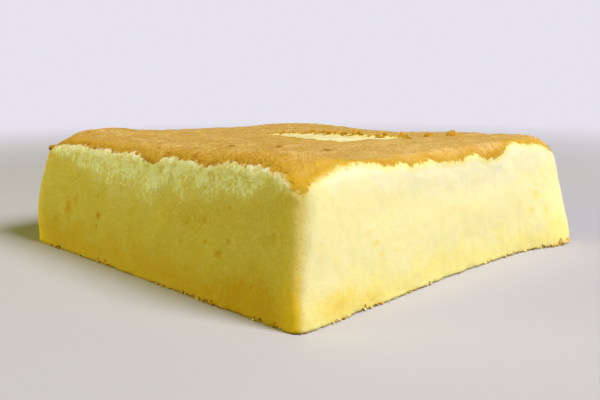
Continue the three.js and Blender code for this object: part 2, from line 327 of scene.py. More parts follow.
# %% Rows of the walls
LOW_ROWS, FRAY_ROWS, LIP_ROWS = 36, 13, 6
FRAY_HEIGHT = 6.5
CRAGS = [(0.45, 3.1, 21), (0.3, 1.7, 22)]
FOOT_LIFT, NOTCH = 0.2, 1.3


def fine_edge(px, py):
    """The crust's edge with the small crags that the solid is too coarse for."""
    hang, rim = edges(px, py)
    tx, ty = plan_places(px, py)
    crag = layered(np.stack([tx, ty, np.zeros_like(tx)], -1), CRAGS)
    return hang + crag * (1 - np.minimum(np.abs(px), np.abs(py)) ** 12), rim


hang, rim = fine_edge(ring_x, ring_y)
tx, ty = plan_places(ring_x, ring_y)
notch = noise(np.stack([tx, ty, 0 * tx], -1), 2.1, 24)
lift = FOOT_LIFT + NOTCH * np.maximum(0, notch - 0.05)
lip_foot = np.minimum(hang, rim - CRUST_THIN)
low = lerp(lift, lip_foot - FRAY_HEIGHT, np.linspace(0, 1, LOW_ROWS, endpoint=False)[:, None])
fray = lip_foot - FRAY_HEIGHT * np.linspace(1, 0, FRAY_ROWS, endpoint=False)[:, None]
lip = lerp(lip_foot, rim, np.linspace(0, 1, LIP_ROWS, endpoint=False)[:, None])
wall_z = np.concatenate([[0 * hang], low, fray, lip])
wall_px, wall_py = np.broadcast_to(ring_x, wall_z.shape), np.broadcast_to(ring_y, wall_z.shape)
print(len(wall_z), "rows of", len(ring_x), "cells round the walls")

# %% [markdown]
# ## Crumb relief on the walls
# A baked wall is smooth low down, where the skin stayed on, and torn under the crust, where it pulled
# away with it. The foot is crumbly and a little lifted. A bump in the material could fake this, but
# here the points move, so it is real shape.

# %% Wall relief
FEATHER = [(1.6, 3.6, 31), (3, 10, 32)]
SKIN_RELIEF = [(0.15, 7, 35), (0.13, 2.6, 36), (0.05, 1.4, 37)]
FOOT_RELIEF = [(0.55, 2.1, 38), (0.4, 4.5, 39)]
FOOT_TALL, FOOT_TUCK = 1.3, -1.0


def crumb_relief(px, py, z, hang):
    """How far the crumb stands out, and how torn it is, at places on the walls."""
    x, y = wall_point(px, py, z, 0)
    at = np.stack([x, y, z], -1)
    below = hang - z
    depth = by_wall(px, py, lambda wall, t: along(wall["torn"], t))
    fray = by_wall(px, py, lambda wall, t: wall["fray"])
    torn = (1 - smooth(below + layered(at, FEATHER), depth * 0.1, depth * 1.7)) * smooth(depth, 1, 5)
    tufts = 0.16 * noise(at, (1.8, 1.8, 3), 33) + 0.26 * rough(at, 3.4, 34)
    foot = np.exp(-z / FOOT_TALL) * layered(at, FOOT_RELIEF)
    out = layered(at, SKIN_RELIEF) + foot + torn * fray * tufts
    return out, torn * (0.5 + 0.5 * fray)


below = hang - wall_z
crumb_out, torn = crumb_relief(wall_px, wall_py, wall_z, hang)
crumb_out[0] = FOOT_TUCK
wall_at = np.stack([*wall_point(wall_px, wall_py, wall_z, 0), wall_z], -1)
crust_out = 0.12 * noise(wall_at, 1.7, 42)
relief = lerp(crumb_out, crust_out, smooth(-below, 0, 2.5)) * smooth(rim - wall_z, -0.2, 1.5)
wall_out = relief + shoulder(wall_z, rim)
wall_points = np.stack([*wall_point(wall_px, wall_py, wall_z, wall_out), wall_z], -1)
print("torn crumb covers %.0f%% of the wall grid" % (100 * torn.mean()))

# %% [markdown]
# ## The top
# The crust rolls up from the rim and is almost flat. Where its skin is missing the pale crumb shows,
# a little lower, and the far lip of the tear is curled up. Blisters and wrinkles stay small. Sculpting
# would give the same, but heights on a grid are easier to change.

# %% Roll of the crust
ring = np.maximum(np.abs(grid_x), np.abs(grid_y))
safe = np.where(ring > 0, ring, 1)
ray_x, ray_y = np.where(ring > 0, grid_x / safe, 1), np.where(ring > 0, grid_y / safe, 0)
top_hang, top_rim = fine_edge(ray_x, ray_y)
rim_x, rim_y = wall_point(ray_x, ray_y, top_rim, -DRAWN_IN)
top_x, top_y = rim_x * ring, rim_y * ring
inset = (1 - ring) * 100
rolled = np.minimum(1, inset / ROLL)
rise = plateau(top_x, top_y) - top_rim
top_z = top_rim + rise * (1 - (1 - rolled) ** np.clip(ROLL / np.maximum(rise, 0.1), 2, 20))
print("crust rises %.1f mm from its rim at most" % rise.max())

# %% Wrinkles and tear
WRINKLES = [(0.26, 6, 51), (0.2, 2.8, 52), (0.1, 1.5, 53)]

flat_at = np.stack([top_x, top_y, np.zeros_like(top_x)], -1)
wrinkle = layered(flat_at, WRINKLES)
tear = inside_tear(top_x, top_y) + 0.5 * noise(flat_at, 2.2, 54)
bare = smooth(tear, -0.3, 0.7)
far_side = smooth(top_y - TEAR["y"] - 0.2 * (top_x - TEAR["x"]), 0, 14)
curl = 0.2 + 0.9 * far_side * (0.6 + 0.4 * noise(flat_at, 4, 55))
curl = curl * np.exp(-((tear + 1.1) / 1.2) ** 2)
crumb_floor = 0.25 * rough(flat_at, 3.4, 56) + 0.1 * noise(flat_at, 1.4, 57)
top_z = top_z + lerp(wrinkle + curl, crumb_floor - TEAR_DEPTH * 0.8, bare) * smooth(inset, 0, 2.5)
print("bare crumb on %.0f%% of the top's points" % (100 * bare.mean()))

# %% Blisters
BLISTERS = [(-31, -66, 2.2), (10, -72, 1.8), (22, -63, 2.6), (40, -51, 2.4), (64, -46, 2.6),
            (12, -89.5, 1.4), (31.5, -89.5, 1.6), (-47, -73, 1.4)]
SMALL_BLISTERS, BLISTER_SEED = 40, 5

rng = np.random.default_rng(BLISTER_SEED)
BLISTERS += [(*rng.uniform(-84, 84, 2), rng.uniform(0.9, 1.9)) for _ in range(SMALL_BLISTERS)]
blister = np.zeros_like(top_z)
for bx, by, size in BLISTERS:
    away = np.hypot(top_x - bx, (top_y - by) * rng.uniform(0.8, 1.4)) / size
    blister = np.maximum(blister, np.exp(-away ** 2) * size / 2)
top_z = top_z + blister * (1 - bare)
top_points = np.stack([top_x, top_y, top_z], -1)
print("top stands %.1f to %.1f mm high" % (top_z.min(), top_z.max()))

# %% [markdown]
# ## Stains on the walls
# Here and there the crumb is a deeper yellow, in clouds and small dark spots. The rim over the lit wall
# is burnt in a few places, and the foot is browned. An image could be painted for this, but a place, a
# size and a strength for each stain are less work, and are kept on the points for the finish.

# %% Stains
STAINS = {
    "south": [(-69, 23, 4, 7, 0.9), (-62, 28, 3, 4, 0.7), (-39.5, 22.5, 1.6, 1.8, 1.7),
              (-40.5, 17.5, 1.2, 1.3, 1.6), (66, 8, 12, 7, 1), (52, 5, 14, 5, 0.8), (80, 9, 9, 9, 0.9),
              (66, 0, 38, 10, 0.9), (32, 33, 26, 9, 0.45), (-75, 6, 9, 8, 0.5), (-92, 20, 4, 16, 0.4),
              (43.8, 32.3, 1.3, 1.2, 1.4), (59.3, 39.1, 1.1, 1.2, 1.2), (45.7, 23.9, 1.2, 1, 1.3),
              (29.2, 21.1, 1.1, 0.9, 1.2), (54.6, 20.7, 3.2, 2.6, 0.9), (31.6, 29.7, 2, 1.2, 0.9)],
    "east": [(2, 30, 22, 5, 0.35), (-58, 25.2, 2.6, 1.8, 0.8), (-54, 20.6, 2, 1.5, 0.8),
             (-44, 19.8, 3.4, 1.5, 0.6), (-62.5, 30, 1.4, 1.2, 0.7), (-81, 22, 2.4, 2.6, 0.5),
             (-73, 18.6, 2.6, 2, 0.5), (72.5, 28, 4, 3, 0.7), (68, 20, 4, 4, 0.7), (80, 19, 4, 5, 0.7),
             (-78, 6, 13, 7, 1.1), (-60, 4, 12, 5, 0.9), (88, 3, 12, 4, 0.4)],
    "north": [(-50, 24, 5, 4, 0.6), (28, 14, 8, 6, 0.6), (62, 30, 4, 3, 0.6), (-8, 6, 14, 5, 0.6)],
    "west": [(-58, 14, 9, 6, 0.6), (-10, 28, 4, 5, 0.6), (44, 20, 5, 4, 0.6), (70, 7, 12, 5, 0.6)],
}
BURNT_RIM = [(-53, 9, 0.8), (-16, 6, 0.6), (6, 3, 0.7), (34, 10, 1)]
SOLE_TALL = 0.7


def stain_at(px, py, z):
    tx, ty = plan_places(px, py)
    total = np.zeros_like(z)
    for name, spots in STAINS.items():
        t = tx if name in ALONG_X else ty
        here = by_wall(px, py, lambda wall, _: float(wall is WALLS[name]))
        for at, height, wide, tall, strength in spots:
            spot = np.exp(-((t - at) / wide) ** 2 - ((z - height) / tall) ** 2)
            total = np.maximum(total, here * strength * spot)
    return total


stain = stain_at(wall_px, wall_py, wall_z)
along_east = plan_places(wall_px, wall_py)[1]
for at, wide, strength in BURNT_RIM:
    burn = strength * np.exp(-((along_east - at) / wide) ** 2) * (wall_px > 0.999)
    stain = np.maximum(stain, burn * smooth(-below, -0.4, 0.4) * (1 - smooth(-below, 2, 5)))
sole = np.exp(-wall_z / SOLE_TALL) * smooth(noise(wall_at, 5, 61), -0.6, 0.5)
print("stained points:", int((stain > 0.3).sum()))

# %% [markdown]
# ## Building the mesh
# The rows and the square share the points of the rim, and the underside is one flat face. A painted
# image would need the skin to be unwrapped, so what the finish needs to know is stored on the points:
# how far each is from the crust's edge, how torn, toasted, stained and high it is, how much yellow is
# painted on its wall, partly skin and partly painted shade, how strong the painted glow of light coming
# through an upright corner is there, and how softly crust and crumb meet there.

# %% Making a piece
collection = bpy.context.scene.collection


def make_piece(name, points, faces, values, smooth_faces=True):
    """A mesh piece from points in millimetres, with values stored on its points."""
    mesh = bpy.data.meshes.new(name)
    mesh.from_pydata(((points - MIDDLE) * MM).tolist(), [], faces)
    for key, data in values.items():
        stored = mesh.attributes.new(key, "FLOAT", "POINT")
        stored.data.foreach_set("value", np.ravel(data).astype(np.float32))
    mesh.polygons.foreach_set("use_smooth", [smooth_faces] * len(mesh.polygons))
    mesh.update()
    piece = bpy.data.objects.new(name, mesh)
    collection.objects.link(piece)
    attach(piece, "root")
    print(name, "has", len(mesh.vertices), "points and", len(mesh.polygons), "faces")
    return piece


# %% Faces of the cake
def quads(index):
    """Faces between the points of a grid."""
    return np.stack([index[:-1, :-1], index[1:, :-1], index[1:, 1:], index[:-1, 1:]], -1).reshape(-1, 4)


top_index = np.arange((SIDE + 1) ** 2).reshape(SIDE + 1, SIDE + 1)
wall_index = top_index.size + np.arange(wall_z.size).reshape(wall_z.shape)
rows = np.concatenate([wall_index, top_index[ring_i, ring_j][None]])
after = np.roll(rows, -1, axis=1)
wall_faces = np.stack([rows[:-1], after[:-1], after[1:], rows[1:]], -1).reshape(-1, 4)
faces = wall_faces.tolist() + quads(top_index).tolist() + [wall_index[0, ::-1].tolist()]
print(len(wall_faces), "faces on the walls and", SIDE ** 2, "on the top")

# %% Corners of the cake
SOFT_EAST, SOFT_SOUTH = (-78, -58), (70, 95)
CORNER_REACH, GLOW_REACH_IN_SHADE = 1.4, 7.5


def fade_out(px, py):
    """1 round the near corner, where crust and crumb run into each other, and 0 away from it."""
    tx, ty = plan_places(px, py)
    on_east = 1 - smooth(ty, *SOFT_EAST)
    on_south = smooth(tx, *SOFT_SOUTH)
    return np.where(px > np.abs(py), on_east, np.where(py < -np.abs(px) + 0.001, on_south, 0))


def by_corner(px, py, reach):
    """1 at the upright corners, fading along the walls."""
    return np.exp(-((1 - np.minimum(np.abs(px), np.abs(py))) * 100 / reach) ** 2)


def yellow_shade_at(px, py, sharp):
    """Yellow painted on each wall's skin, partly skin and partly painted shade, meeting softly at a
    corner.
    """
    on_x = np.abs(px) ** sharp / (np.abs(px) ** sharp + np.abs(py) ** sharp)
    east_west = np.where(px > 0, WALLS["east"]["yellow_shade"], WALLS["west"]["yellow_shade"])
    north_south = np.where(py > 0, WALLS["north"]["yellow_shade"], WALLS["south"]["yellow_shade"])
    return lerp(north_south, east_west, on_x) * (1 - 0.25 * by_corner(px, py, 7))


# The painted glow at the upright corners, light coming through the cake: how far it spreads along a wall,
# further on the walls in shade.
reach = by_wall(wall_px, wall_py, lambda wall, _: CORNER_REACH + GLOW_REACH_IN_SHADE * wall["yellow_shade"])
corner_glow = by_corner(wall_px, wall_py, reach)
top_soft = fade_out(ray_x, ray_y) * 0.5 * (1 - smooth(inset, 2, 10))


# %% Mesh of the cake
def join(top_value, wall_value):
    """One row of values, the top's points first, as in the faces."""
    return np.concatenate([np.ravel(top_value), np.ravel(wall_value)])


top_edge = np.minimum(inset + top_rim - top_hang, -tear)
values = {
    "edge": join(top_edge, -below),
    "torn": join(bare * 0.35, torn),
    "toast": join(blister, sole),
    "stain": join(0 * top_z, stain),
    "height": join(top_z, wall_z),
    "corner_glow": join(0 * top_z, corner_glow),
    "yellow_shade": join(yellow_shade_at(ray_x, ray_y, 5), yellow_shade_at(wall_px, wall_py, 40)),
    "soft": join(top_soft, fade_out(wall_px, wall_py)),
}
points = join(top_points, wall_points).reshape(-1, 3)
cake = make_piece("cake_skin", points, faces, values)
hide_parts("chiffon_cake")

# %% [markdown]
# ## Torn flecks
# Under the crust small crumbs cling to the ragged wall. A particle system would scatter them quickly,
# but particles don't travel with the mesh. So each fleck is a ball pushed out of shape and pressed
# thin, with its broad side on the wall, and a seeded generator draws the places.

# %% Places on the walls
def wall_ends(name):
    return ENDS_X if name in ALONG_X else ENDS_Y


def on_wall(name, t):
    """Grid coordinates of places along a wall."""
    low, high = wall_ends(name)
    share = 2 * (t - low) / (high - low) - 1
    side = np.full_like(t, 1 if name in ("north", "east") else -1)
    return (share, side) if name in ALONG_X else (side, share)


def unit(vectors):
    return vectors / np.linalg.norm(vectors, axis=-1, keepdims=True)


def stand(px, py, z, out):
    """Points on the walls, with the directions out of the wall, along it and up."""
    x, y = wall_point(px, py, z, out)
    x1, y1 = wall_point(px, py, z, out + 1)
    normal = unit(np.stack([x1 - x, y1 - y, np.zeros_like(x)], -1))
    up = np.broadcast_to([0.0, 0.0, 1.0], normal.shape)
    return np.stack([x, y, z], -1), normal, np.cross(up, normal), up


# %% Shape of a crumb
def ball(cuts):
    mesh = bmesh.new()
    bmesh.ops.create_icosphere(mesh, subdivisions=cuts, radius=1)
    mesh.verts.ensure_lookup_table()
    points = np.array([v.co[:] for v in mesh.verts])
    faces = np.array([[v.index for v in f.verts] for f in mesh.faces])
    mesh.free()
    return points, faces


CRUMB_POINTS, CRUMB_FACES = ball(2)
CRUMB_UNEVEN = 0.35


def crumb_bits(at, facing, lie, sizes, rng):
    """Crumbs of the given length, width and thickness, lying along lie with a broad side to facing."""
    out = unit(facing)
    long = unit(lie - out * (lie * out).sum(-1, keepdims=True))
    axes = np.stack([long, np.cross(out, long), out], 1)
    shape = CRUMB_POINTS * (1 + CRUMB_UNEVEN * rng.uniform(-1, 1, (len(at), len(CRUMB_POINTS), 1)))
    points = at[:, None] + np.einsum("nij,njk->nik", shape * sizes[:, None] / 2, axes)
    faces = CRUMB_FACES + len(CRUMB_POINTS) * np.arange(len(at))[:, None, None]
    return points.reshape(-1, 3), faces.reshape(-1, 3)


def bit_sizes(count, spread, least, width, thickness, rng):
    """Length, width and thickness of bits, a few of them much longer than the rest."""
    length = rng.gamma(4, spread, count) + least
    return np.stack([length, rng.uniform(*width, count), rng.uniform(*thickness, count)], -1)


def turned(side, up, angle):
    return np.cos(angle)[:, None] * up + np.sin(angle)[:, None] * side


print("a crumb has", len(CRUMB_FACES), "faces")

# %% Torn flecks
FLECKS_A_WALL, FLECK_SEED = 1100, 11
FLECK_MIDDLE = 70


def torn_flecks(count, rng):
    """Places of flecks on the torn bands, in loose clusters."""
    chosen = []
    for name, wall in WALLS.items():
        t = rng.uniform(*wall_ends(name), int(count * wall["flecks"]))
        px, py = on_wall(name, t)
        hang, rim = fine_edge(px, py)
        z = hang - np.abs(rng.normal(0, 0.5, len(t))) * along(wall["torn"], t) - 1.2
        out, torn = crumb_relief(px, py, z, hang)
        at, normal, side, up = stand(px, py, z, out + shoulder(z, rim))
        cluster = noise(at, (5, 5, 9), 71) + 0.7 * noise(at, (2, 2, 3), 72)
        keep = rng.uniform(0, 1, len(t)) < torn * smooth(cluster, -0.7, 0.9) * (np.abs(t) < FLECK_MIDDLE)
        chosen.append([v[keep] for v in (at, normal, side, up)])
    return [np.concatenate(v) for v in zip(*chosen)]


rng = np.random.default_rng(FLECK_SEED)
at, normal, side, up = torn_flecks(FLECKS_A_WALL, rng)
count = len(at)
sizes = bit_sizes(count, 0.22, 0.4, (0.4, 0.9), (0.06, 0.14), rng)
facing = normal + up * rng.uniform(0, 0.5, (count, 1)) + rng.normal(0, 0.1, (count, 3))
points, faces = crumb_bits(at, facing, turned(side, up, rng.uniform(-1.6, 1.6, count)), sizes, rng)
pale = np.repeat(rng.uniform(0, 1, count), len(CRUMB_POINTS))
torn_bits = make_piece("torn_flecks", points, faces.tolist(), {"pale": pale}, smooth_faces=False)

# %% [markdown]
# ## The ragged edge
# The crust doesn't end in a clean line. Crumbs of it stick out along the torn walls, some golden and some
# browner, while the edge over the lit wall is cleaner. A finer grid could hold them, but loose bits
# catch the light better. They have the flecks' shape, only thicker.

# %% Crust crumbs
CRUMBS_PER_MM, SHAGGY = 0.7, 0.5


def edge_crumbs(per_mm, rng):
    chosen = []
    for name, wall in WALLS.items():
        low, high = wall_ends(name)
        t = rng.uniform(low + 3, high - 3, int(per_mm * (high - low)))
        px, py = on_wall(name, t)
        hang, rim = fine_edge(px, py)
        z = np.minimum(hang + rng.normal(0.2, 0.4, len(t)), rim)
        at, normal, side, up = stand(px, py, z, shoulder(z, rim) + rng.normal(0.05, 0.08, len(t)))
        likely = smooth(noise(at, (4, 4, 40), 73), -0.6, 0.6) * (1 - fade_out(px, py))
        keep = rng.uniform(0, 1, len(t)) < likely * (wall["fray"] > SHAGGY)
        chosen.append([v[keep] for v in (at, normal, side, up)])
    return [np.concatenate(v) for v in zip(*chosen)]


at, normal, side, up = edge_crumbs(CRUMBS_PER_MM, rng)
count = len(at)
sizes = bit_sizes(count, 0.25, 0.5, (0.5, 1.1), (0.25, 0.5), rng)
facing = normal + rng.normal(0, 0.25, (count, 3))
points, faces = crumb_bits(at, facing, turned(side, up, rng.uniform(0, math.pi, count)), sizes, rng)
toast = np.repeat(rng.uniform(-0.2, 0.25, count), len(CRUMB_POINTS))
crust_crumbs = make_piece("crust_crumbs", points, faces.tolist(), {"toast": toast}, smooth_faces=False)

# %% [markdown]
# ## Flakes on the top
# Behind the tear a few flakes of crust stand up, curled like dry paint, each with two lower ones leaning
# on it, and small ones follow the torn lip. A plane with a solidify modifier would do for one. Here each
# is a small bent grid with a front, a back and a ragged top edge.

# %% Shape of a flake
ACROSS, UP = 13, 9


def top_height(x, y):
    """Height of the top's grid near a place."""
    return top_z.flat[np.argmin((top_x - x) ** 2 + (top_y - y) ** 2)]


def sheet_faces():
    total = ACROSS * UP
    k = np.arange(total).reshape(ACROSS, UP)
    loop = np.concatenate([k[:-1, 0], k[-1, :-1], k[:0:-1, -1], k[0, :0:-1]])
    following = np.roll(loop, -1)
    rim = np.stack([loop, loop + total, following + total, following], -1)
    return np.concatenate([quads(k), quads(k)[:, ::-1] + total, rim])


def flake_points(x, y, turn, width, height, seed, thick):
    """Points of one curled flake, its front first and then its back."""
    u, v = np.meshgrid(np.linspace(-1, 1, ACROSS), np.linspace(-0.3, 1, UP), indexing="ij")
    up = np.clip(v, 0, 1)
    peak_at = 0.4 * chance(seed + 3.0)
    slope = np.where(u > peak_at, (u - peak_at) / (1 - peak_at), (peak_at - u) / (1 + peak_at))
    peak = np.clip(1 - 0.8 * slope + 0.2 * uneven(u * 3 + 20, seed), 0.1, 1)
    bx = u * width / 2 * (1 - 0.15 * up) + 0.25 * uneven(v * 5 + 30, seed + 7) * u
    back = 0.4 * height * up ** 2 + 0.05 * bx ** 2 + 0.35 * patchy(u * 3 + 9, v * 3 + 9, seed)
    bz = v * height * peak
    half = thick / 2 * (1 - 0.45 * up) * np.sqrt(np.maximum(0.05, 1 - np.abs(u) ** 6))
    sheets = []
    for sign in (-1, 1):
        by = back + sign * half
        sheets.append(np.stack([x + bx * math.cos(turn) - by * math.sin(turn),
                                y + bx * math.sin(turn) + by * math.cos(turn),
                                top_height(x, y) + bz], -1).reshape(-1, 3))
    return np.concatenate(sheets)


# %% Places of the flakes
FLAKES = [(10, 35, 0.5, 5, 3.2), (31, 31, 0.2, 5.4, 2.4), (38, 41, 0.9, 3.8, 2.8), (52, 45, 0.4, 4.6, 2.6),
          (59, 58, 0.8, 7, 3.8), (-18, 30, 0.5, 8, 1.6), (-2, 33, 0.3, 8, 1.6)]
LIP_FLAKES, LIP_ANGLES = 15, [0.05, 0.2, 0.5]
FLAKE_THICK, LIP_THICK = 0.9, 0.6


def cluster(x, y, turn, width, height, rng):
    """A flake with two smaller ones leaning on it."""
    found = [(x, y, turn, width, height)]
    for side in (-1, 1):
        along_x, along_y = math.cos(turn) * side * width, math.sin(turn) * side * width
        found.append((x + 0.3 * along_x, y + 0.3 * along_y, turn + side * rng.uniform(0.3, 0.8),
                      width * rng.uniform(0.6, 0.9), height * rng.uniform(0.3, 0.5)))
    return found


def lip_flakes(rng):
    """Small flakes along the far lip of the tear, and a few at its end."""
    found = []
    for angle in np.append(rng.uniform(1.0, 3.0, LIP_FLAKES), LIP_ANGLES):
        reach = np.linspace(4, 60, 300)
        spin = angle + TEAR["turn"]
        x, y = TEAR["x"] + reach * math.cos(spin), TEAR["y"] + reach * math.sin(spin)
        edge = np.argmax(inside_tear(x, y) < -0.2)
        found.append((x[edge], y[edge], rng.normal(0.35, 0.5), rng.uniform(2.5, 7), rng.uniform(0.6, 1.5)))
    return found


standing = [shard for flake in FLAKES for shard in cluster(*flake, rng)]
shards = [(*shard, FLAKE_THICK) for shard in standing] + [(*shard, LIP_THICK) for shard in lip_flakes(rng)]
print(len(shards), "flakes, of which", len(standing), "stand up")

# %% Flakes
points, faces = [], []
for i, (x, y, turn, width, height, thick) in enumerate(shards):
    points.append(flake_points(x, y, turn, width, height, 10 * i + 3.0, thick))
    faces += (sheet_faces() + i * len(points[0])).tolist()
toast = [0.3 + 0.4 * noise(sheet, 1.6, 91) for sheet in points]
crust_flakes = make_piece("crust_flakes", np.concatenate(points), faces,
                          {"toast": np.concatenate(toast)}, smooth_faces=False)

# %% [markdown]
# ## Crumbs at the foot
# The foot crumbles where it was lifted out of its tin: grains sit all along it, three lumps lie under
# the corner that spreads, and a bit of crust stuck high on the corner opposite. One crumb copied many
# times would show, so each is a ball pushed out of shape in its own way.

# %% Grains
GRAINS_PER_MM = 1.3
BROWNED_FOOT = {"south": [(-104, 0.9), (-40, 0.8), (20, 0.8), (60, 1), (100, 1)],
                "east": [(-100, 0.5), (-60, 0.4), (-30, 0.3), (70, 0.4), (103, 0.6)],
                "north": [(-104, 0.5), (100, 0.6)], "west": [(-100, 0.6), (103, 0.5)]}


def foot_grains(per_mm, rng):
    """Places, sizes and browning of grains along the foot, in clumps."""
    places, sizes, toasts = [], [], []
    for name in WALLS:
        low, high = wall_ends(name)
        t = rng.uniform(low, high, int(per_mm * (high - low)))
        clump = noise(np.stack([t, 0 * t + ord(name[0]), 0 * t], -1), 6, 83)
        t = t[clump > 0.1]
        px, py = on_wall(name, t)
        size = rng.gamma(4, 0.07, len(t)) + 0.1
        z = np.maximum(size * 0.6, rng.exponential(0.6, len(t)))
        places.append(stand(px, py, z, -0.25 + rng.uniform(0, 0.5, len(t)))[0])
        sizes.append(size)
        toasts.append(np.clip(along(BROWNED_FOOT[name], t) + rng.normal(-0.25, 0.35, len(t)), 0, 1))
    return np.concatenate(places), np.concatenate(sizes), np.concatenate(toasts)


places, sizes, toasts = foot_grains(GRAINS_PER_MM, rng)
count = len(places)
lie = unit(rng.normal(0, 1, (count, 3)) * [1, 1, 0.3])
foot_points, foot_faces = crumb_bits(places, np.tile([0.0, 0.0, 1.0], (count, 1)), lie,
                                     2 * sizes[:, None] * [1, 1, 0.85], rng)
foot_points[:, 2] = np.maximum(foot_points[:, 2], 0)
foot_toast = np.repeat(toasts, len(CRUMB_POINTS))
print(count, "grains along the foot")

# %% Lumps
LUMPS = [(104.4, 83, 1, 3, 0.35), (106.4, 89, 1.4, 3, 0.35), (105.8, 96, 1.2, 2.8, 0.35),
         (-94.2, -92.6, 51.4, 1.8, 0.9)]

lump_points, lump_faces = ball(5)
for i, (x, y, z, radius, browned) in enumerate(LUMPS):
    swell = 0.3 * noise(lump_points * radius + 50 * i, radius * 0.8, 81)
    grow = 1 + swell + 0.12 * noise(lump_points * radius, 0.7, 82)
    lump = np.array([x, y, z]) + lump_points * grow[:, None] * radius * [1, 1, 0.8]
    lump[:, 2] = np.maximum(lump[:, 2], 0)
    foot_faces = np.concatenate([foot_faces, lump_faces + len(foot_points)])
    foot_points = np.concatenate([foot_points, lump])
    foot_toast = np.concatenate([foot_toast, np.full(len(lump), browned)])
crumbs = make_piece("foot_crumbs", foot_points, foot_faces.tolist(), {"toast": foot_toast})

# %% [markdown]
# ## Writing shaders as sums
# A material is a small sum: so much crust, so much crumb, darker where it is toasted. Nodes joined one
# by one hide that sum, so one class wraps a socket, and the Math nodes appear by themselves.

# %% Socket class
class Wire:
    """An output socket of a material, with arithmetic."""

    def __init__(self, tree, socket):
        self.tree, self.socket = tree, socket

    @staticmethod
    def node(tree, kind, settings=None, links=None, out=0):
        """Output of a new node with the given settings, and values or links in its sockets."""
        made = tree.nodes.new("ShaderNode" + kind)
        for key, value in (settings or {}).items():
            setattr(made, key, value)
        for key, value in (links or {}).items():
            if isinstance(value, Wire):
                tree.links.new(value.socket, made.inputs[key])
            else:
                made.inputs[key].default_value = value
        return Wire(tree, made.outputs[out])

    def maths(self, operation, a, b):
        return Wire.node(self.tree, "Math", {"operation": operation}, {0: a, 1: b})

    def __add__(self, other):
        return self.maths("ADD", self, other)

    def __sub__(self, other):
        return self.maths("SUBTRACT", self, other)

    def __rsub__(self, other):
        return self.maths("SUBTRACT", other, self)

    def __mul__(self, other):
        return self.maths("MULTIPLY", self, other)

    __radd__, __rmul__ = __add__, __mul__

    def between(self, low, high):
        """0 at low, 1 at high, and smooth in between. low may be the larger one."""
        links = {"Value": self, "From Min": low, "From Max": high}
        return Wire.node(self.tree, "MapRange", {"interpolation_type": "SMOOTHSTEP"}, links)

    def tint(self, a, b):
        """Colour a where this is 0 and b where it is 1."""
        return Wire.node(self.tree, "Mix", {"data_type": "RGBA"}, {0: self, 6: a, 7: b}, 2)


# %% [markdown]
# ## Crumb and crust
# Crumb is a pale yellow foam: light goes in and comes out nearby, so it gets subsurface scattering, fine
# pores and a few bigger pits, and the holes are tinted darker, which is painted shade. Torn crumb is
# paler, with wisps whiter still, partly pale fibres and partly painted highlight. Low down the skin is
# yellower, partly skin and partly painted bounce light; on the walls in shade it is yellower, partly skin
# and partly painted shade; and a painted glow round the upright corners stands for light coming through
# the cake.
# Crust is thin, matt and tan, mottled with light and brown, golden near its edge and brown on blisters;
# the gold and the darker hem at its edge are partly painted shade where the crust rolls over, and there is
# painted shade in the crumb just under its edge.
# Two materials could share the faces, but crust and crumb run into each other, so one does both.

# %% Tones
def colour(red, green, blue):
    """Linear colour from the 0 to 255 values of a picture."""
    return [((v / 255 + 0.055) / 1.055) ** 2.4 for v in (red, green, blue)] + [1]


# Some of these tones also carry painted light: the yellow of the walls in shade and low down, the glow at
# the corners and the whitest wisps.
FLUFF_HIGHLIGHT, PALE, SKIN = colour(255, 252, 234), colour(253, 247, 206), colour(249, 236, 162)
YOLK_AND_SHADE, STAIN_AND_PORE_SHADE, DEEP_AND_SHADE = colour(215, 191, 84), colour(212, 168, 26), colour(212, 167, 10)
BUTTER_AND_BOUNCE, HONEY = colour(253, 236, 138), colour(250, 223, 106)
GLOW_YELLOW, SPOT = colour(252, 210, 24), colour(168, 140, 24)
TAN, LIGHT_TAN, GOLD = colour(208, 158, 72), colour(234, 194, 112), colour(214, 164, 48)
AMBER, BROWN, OCHRE = colour(196, 143, 20), colour(164, 114, 20), colour(218, 172, 34)
MUSTARD = colour(196, 156, 18)

# %% A baked finish
MM_PER_M = 1000
SCATTER_REACH = (1.0, 0.8, 0.15)
SHINE = 0.25


